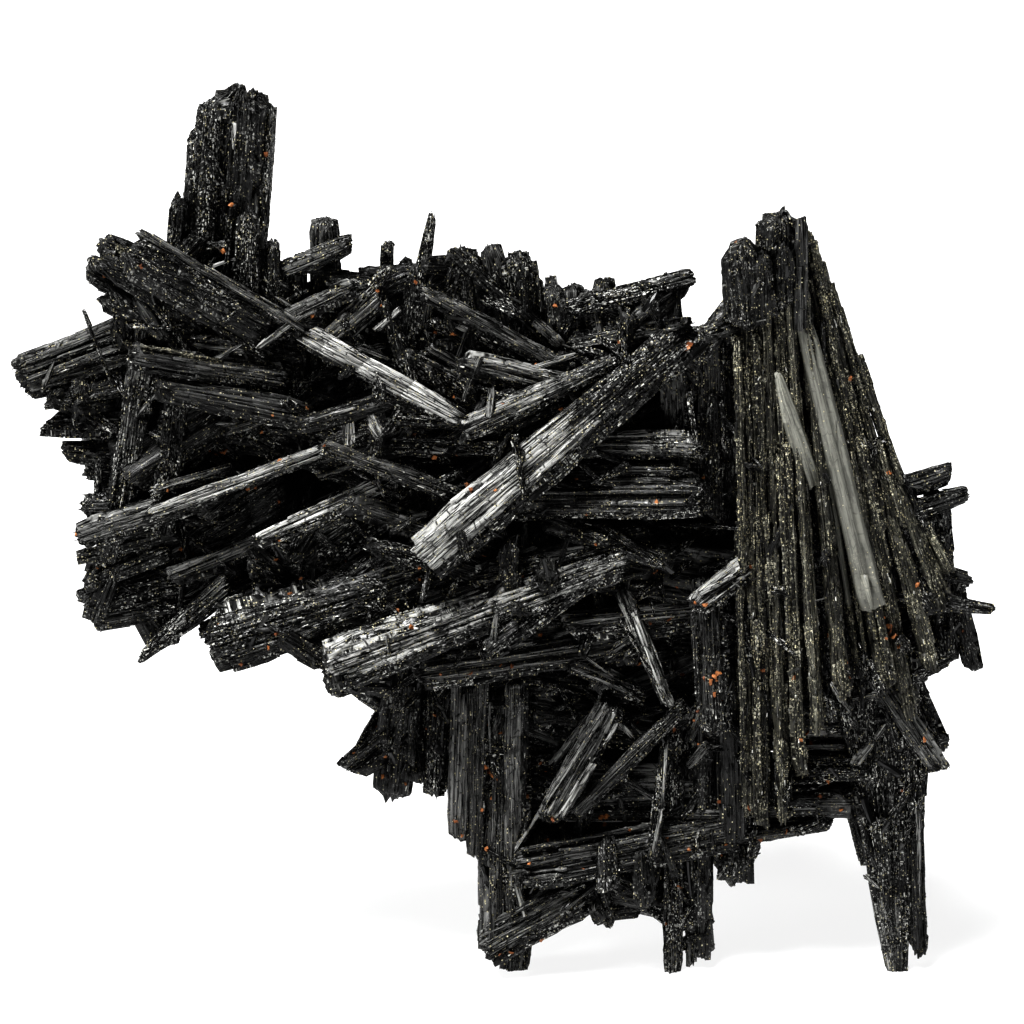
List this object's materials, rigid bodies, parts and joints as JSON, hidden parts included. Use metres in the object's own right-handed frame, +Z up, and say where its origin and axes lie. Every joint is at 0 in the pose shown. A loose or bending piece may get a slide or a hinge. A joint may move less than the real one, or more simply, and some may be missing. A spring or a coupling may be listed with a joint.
{
  "type": "aegirine crystal cluster",
  "caption": "Jackstraw cluster of long striated black prismatic crystals crossing one another, standing on its lowest crystals, with tall upright bundles at each side.",
  "frame": {"origin": "level of the feet, under the middle of the bounding box", "axes": "+Z up, with the cluster standing on its lowest crystals; -Y towards the viewer of the front side; +X to the right of that view, so the longest extent lies along X"},
  "size_m": [0.1196, 0.0589, 0.1146],
  "materials": {
    "aegirine": "striated, vitreous to satin, dusted with pale micro-crystals and orange-brown grains"
  },
  "bodies": {
    "root": {"aegirine_cluster": "aegirine"}
  },
  "joints": []
}
